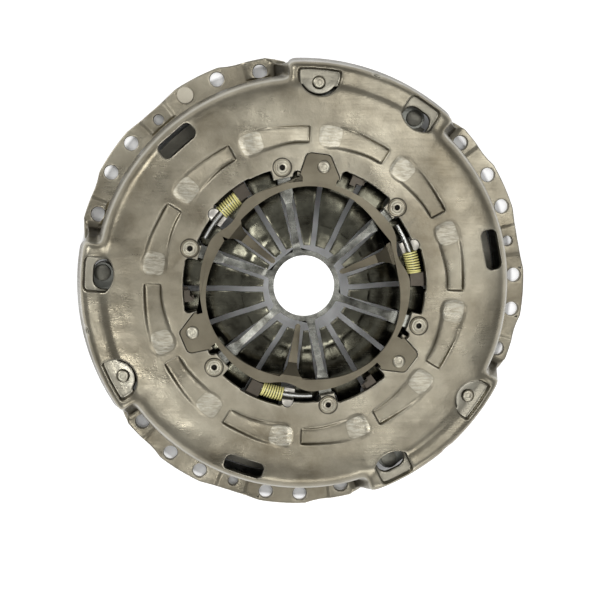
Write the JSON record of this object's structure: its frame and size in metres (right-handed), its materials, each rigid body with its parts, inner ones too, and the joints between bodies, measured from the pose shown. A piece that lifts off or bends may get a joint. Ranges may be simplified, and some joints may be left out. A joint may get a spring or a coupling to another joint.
{
  "type": "self-adjusting clutch cover",
  "caption": "Self-adjusting clutch cover: pressed steel cover, pressure plate on leaf straps, diaphragm spring fingers, ramped wear adjuster with coil springs, stop ring and centre spider.",
  "frame": {"origin": "on the turning axis, in the flange face that bolts to the flywheel", "axes": "+Z along the turning axis, from the flywheel to the gearbox"},
  "size_m": [0.2655, 0.2677, 0.042],
  "materials": {
    "cover_steel": "satin, stained rolled steel",
    "plate_iron": "as cast, ground friction face",
    "ring_steel": "dark hardened",
    "sensor_steel": "oiled spring steel",
    "stop_steel": "satin",
    "spider_steel": "bright satin",
    "spring_yellow": "pale yellow coating",
    "rod_steel": "bright",
    "abutment_steel": "bright satin",
    "rivet_steel": "satin",
    "balance_steel": "satin",
    "strap_steel": "oiled spring steel",
    "finger_steel": "dark, shot peened and oiled"
  },
  "bodies": {
    "cover": {"clutch_cover": "cover_steel", "stop_ring": "stop_steel", "centre_spider": "spider_steel", "spring_abutments": "abutment_steel", "stepped_rivets": "rivet_steel", "ear_rivets": "rivet_steel", "cover_strap_rivets": "rivet_steel", "balance_rivet": "balance_steel", "adjuster_springs": "spring_yellow", "strap_pack_1": "strap_steel", "strap_pack_2": "strap_steel", "strap_pack_3": "strap_steel"},
    "sensor": {"sensor_spring": "sensor_steel"},
    "adjuster": {"adjuster_ring": "ring_steel", "spring_guide_rods": "rod_steel"},
    "plate": {"pressure_plate": "plate_iron", "plate_strap_rivets": "rivet_steel"},
    "finger_01": {"diaphragm_finger_01": "finger_steel"},
    "finger_02": {"diaphragm_finger_02": "finger_steel"},
    "finger_03": {"diaphragm_finger_03": "finger_steel"},
    "finger_04": {"diaphragm_finger_04": "finger_steel"},
    "finger_05": {"diaphragm_finger_05": "finger_steel"},
    "finger_06": {"diaphragm_finger_06": "finger_steel"},
    "finger_07": {"diaphragm_finger_07": "finger_steel"},
    "finger_08": {"diaphragm_finger_08": "finger_steel"},
    "finger_09": {"diaphragm_finger_09": "finger_steel"},
    "finger_10": {"diaphragm_finger_10": "finger_steel"},
    "finger_11": {"diaphragm_finger_11": "finger_steel"},
    "finger_12": {"diaphragm_finger_12": "finger_steel"},
    "finger_13": {"diaphragm_finger_13": "finger_steel"},
    "finger_14": {"diaphragm_finger_14": "finger_steel"},
    "finger_15": {"diaphragm_finger_15": "finger_steel"},
    "finger_16": {"diaphragm_finger_16": "finger_steel"},
    "finger_17": {"diaphragm_finger_17": "finger_steel"},
    "finger_18": {"diaphragm_finger_18": "finger_steel"}
  },
  "joints": [
    {"name": "wear_travel", "type": "slide", "parent": "cover", "child": "sensor", "axis": [0, 0, -1], "range_m": [0, 0.0018], "deforming": ["sensor_spring", "adjuster_springs"]},
    {"name": "adjuster_turn", "type": "hinge", "parent": "sensor", "child": "adjuster", "pos_m": [0, 0, 0.032], "axis": [0, 0, -1], "range_deg": [0, 14.2]},
    {"name": "plate_lift", "type": "slide", "parent": "sensor", "child": "plate", "axis": [0, 0, 1], "range_m": [0, 0.0032], "deforming": ["strap_pack_1", "strap_pack_2", "strap_pack_3"]},
    {"name": "finger_tilt_01", "type": "hinge", "parent": "sensor", "child": "finger_01", "pos_m": [0.08632, 0.01709, 0.0232], "axis": [0.1942, -0.981, 0], "range_deg": [0, 10.99]},
    {"name": "finger_tilt_02", "type": "hinge", "parent": "sensor", "child": "finger_02", "pos_m": [0.07527, 0.04559, 0.0232], "axis": [0.518, -0.8554, 0], "range_deg": [0, 10.99]},
    {"name": "finger_tilt_03", "type": "hinge", "parent": "sensor", "child": "finger_03", "pos_m": [0.05514, 0.06858, 0.0232], "axis": [0.7793, -0.6266, 0], "range_deg": [0, 10.99]},
    {"name": "finger_tilt_04", "type": "hinge", "parent": "sensor", "child": "finger_04", "pos_m": [0.02836, 0.08331, 0.0232], "axis": [0.9466, -0.3223, 0], "range_deg": [0, 10.99]},
    {"name": "finger_tilt_05", "type": "hinge", "parent": "sensor", "child": "finger_05", "pos_m": [-0.00184, 0.08798, 0.0232], "axis": [0.9998, 0.0209, 0], "range_deg": [0, 10.99]},
    {"name": "finger_tilt_06", "type": "hinge", "parent": "sensor", "child": "finger_06", "pos_m": [-0.03182, 0.08204, 0.0232], "axis": [0.9323, 0.3616, 0], "range_deg": [0, 10.99]},
    {"name": "finger_tilt_07", "type": "hinge", "parent": "sensor", "child": "finger_07", "pos_m": [-0.05797, 0.06621, 0.0232], "axis": [0.7524, 0.6587, 0], "range_deg": [0, 10.99]},
    {"name": "finger_tilt_08", "type": "hinge", "parent": "sensor", "child": "finger_08", "pos_m": [-0.07712, 0.04239, 0.0232], "axis": [0.4818, 0.8763, 0], "range_deg": [0, 10.99]},
    {"name": "finger_tilt_09", "type": "hinge", "parent": "sensor", "child": "finger_09", "pos_m": [-0.08696, 0.01346, 0.0232], "axis": [0.153, 0.9882, 0], "range_deg": [0, 10.99]},
    {"name": "finger_tilt_10", "type": "hinge", "parent": "sensor", "child": "finger_10", "pos_m": [-0.08632, -0.01709, 0.0232], "axis": [-0.1942, 0.981, 0], "range_deg": [0, 10.99]},
    {"name": "finger_tilt_11", "type": "hinge", "parent": "sensor", "child": "finger_11", "pos_m": [-0.07527, -0.04559, 0.0232], "axis": [-0.518, 0.8554, 0], "range_deg": [0, 10.99]},
    {"name": "finger_tilt_12", "type": "hinge", "parent": "sensor", "child": "finger_12", "pos_m": [-0.05514, -0.06858, 0.0232], "axis": [-0.7793, 0.6266, 0], "range_deg": [0, 10.99]},
    {"name": "finger_tilt_13", "type": "hinge", "parent": "sensor", "child": "finger_13", "pos_m": [-0.02836, -0.08331, 0.0232], "axis": [-0.9466, 0.3223, 0], "range_deg": [0, 10.99]},
    {"name": "finger_tilt_14", "type": "hinge", "parent": "sensor", "child": "finger_14", "pos_m": [0.00184, -0.08798, 0.0232], "axis": [-0.9998, -0.0209, 0], "range_deg": [0, 10.99]},
    {"name": "finger_tilt_15", "type": "hinge", "parent": "sensor", "child": "finger_15", "pos_m": [0.03182, -0.08204, 0.0232], "axis": [-0.9323, -0.3616, 0], "range_deg": [0, 10.99]},
    {"name": "finger_tilt_16", "type": "hinge", "parent": "sensor", "child": "finger_16", "pos_m": [0.05797, -0.06621, 0.0232], "axis": [-0.7524, -0.6587, 0], "range_deg": [0, 10.99]},
    {"name": "finger_tilt_17", "type": "hinge", "parent": "sensor", "child": "finger_17", "pos_m": [0.07712, -0.04239, 0.0232], "axis": [-0.4818, -0.8763, 0], "range_deg": [0, 10.99]},
    {"name": "finger_tilt_18", "type": "hinge", "parent": "sensor", "child": "finger_18", "pos_m": [0.08696, -0.01346, 0.0232], "axis": [-0.153, -0.9882, 0], "range_deg": [0, 10.99]}
  ],
  "couplings": [
    {"joint": "adjuster_turn", "follows": "wear_travel", "rad_per_m": 135.75},
    {"joint": "finger_tilt_01", "follows": "plate_lift", "rad_per_m": 58.824},
    {"joint": "finger_tilt_02", "follows": "plate_lift", "rad_per_m": 58.824},
    {"joint": "finger_tilt_03", "follows": "plate_lift", "rad_per_m": 58.824},
    {"joint": "finger_tilt_04", "follows": "plate_lift", "rad_per_m": 58.824},
    {"joint": "finger_tilt_05", "follows": "plate_lift", "rad_per_m": 58.824},
    {"joint": "finger_tilt_06", "follows": "plate_lift", "rad_per_m": 58.824},
    {"joint": "finger_tilt_07", "follows": "plate_lift", "rad_per_m": 58.824},
    {"joint": "finger_tilt_08", "follows": "plate_lift", "rad_per_m": 58.824},
    {"joint": "finger_tilt_09", "follows": "plate_lift", "rad_per_m": 58.824},
    {"joint": "finger_tilt_10", "follows": "plate_lift", "rad_per_m": 58.824},
    {"joint": "finger_tilt_11", "follows": "plate_lift", "rad_per_m": 58.824},
    {"joint": "finger_tilt_12", "follows": "plate_lift", "rad_per_m": 58.824},
    {"joint": "finger_tilt_13", "follows": "plate_lift", "rad_per_m": 58.824},
    {"joint": "finger_tilt_14", "follows": "plate_lift", "rad_per_m": 58.824},
    {"joint": "finger_tilt_15", "follows": "plate_lift", "rad_per_m": 58.824},
    {"joint": "finger_tilt_16", "follows": "plate_lift", "rad_per_m": 58.824},
    {"joint": "finger_tilt_17", "follows": "plate_lift", "rad_per_m": 58.824},
    {"joint": "finger_tilt_18", "follows": "plate_lift", "rad_per_m": 58.824}
  ]
}
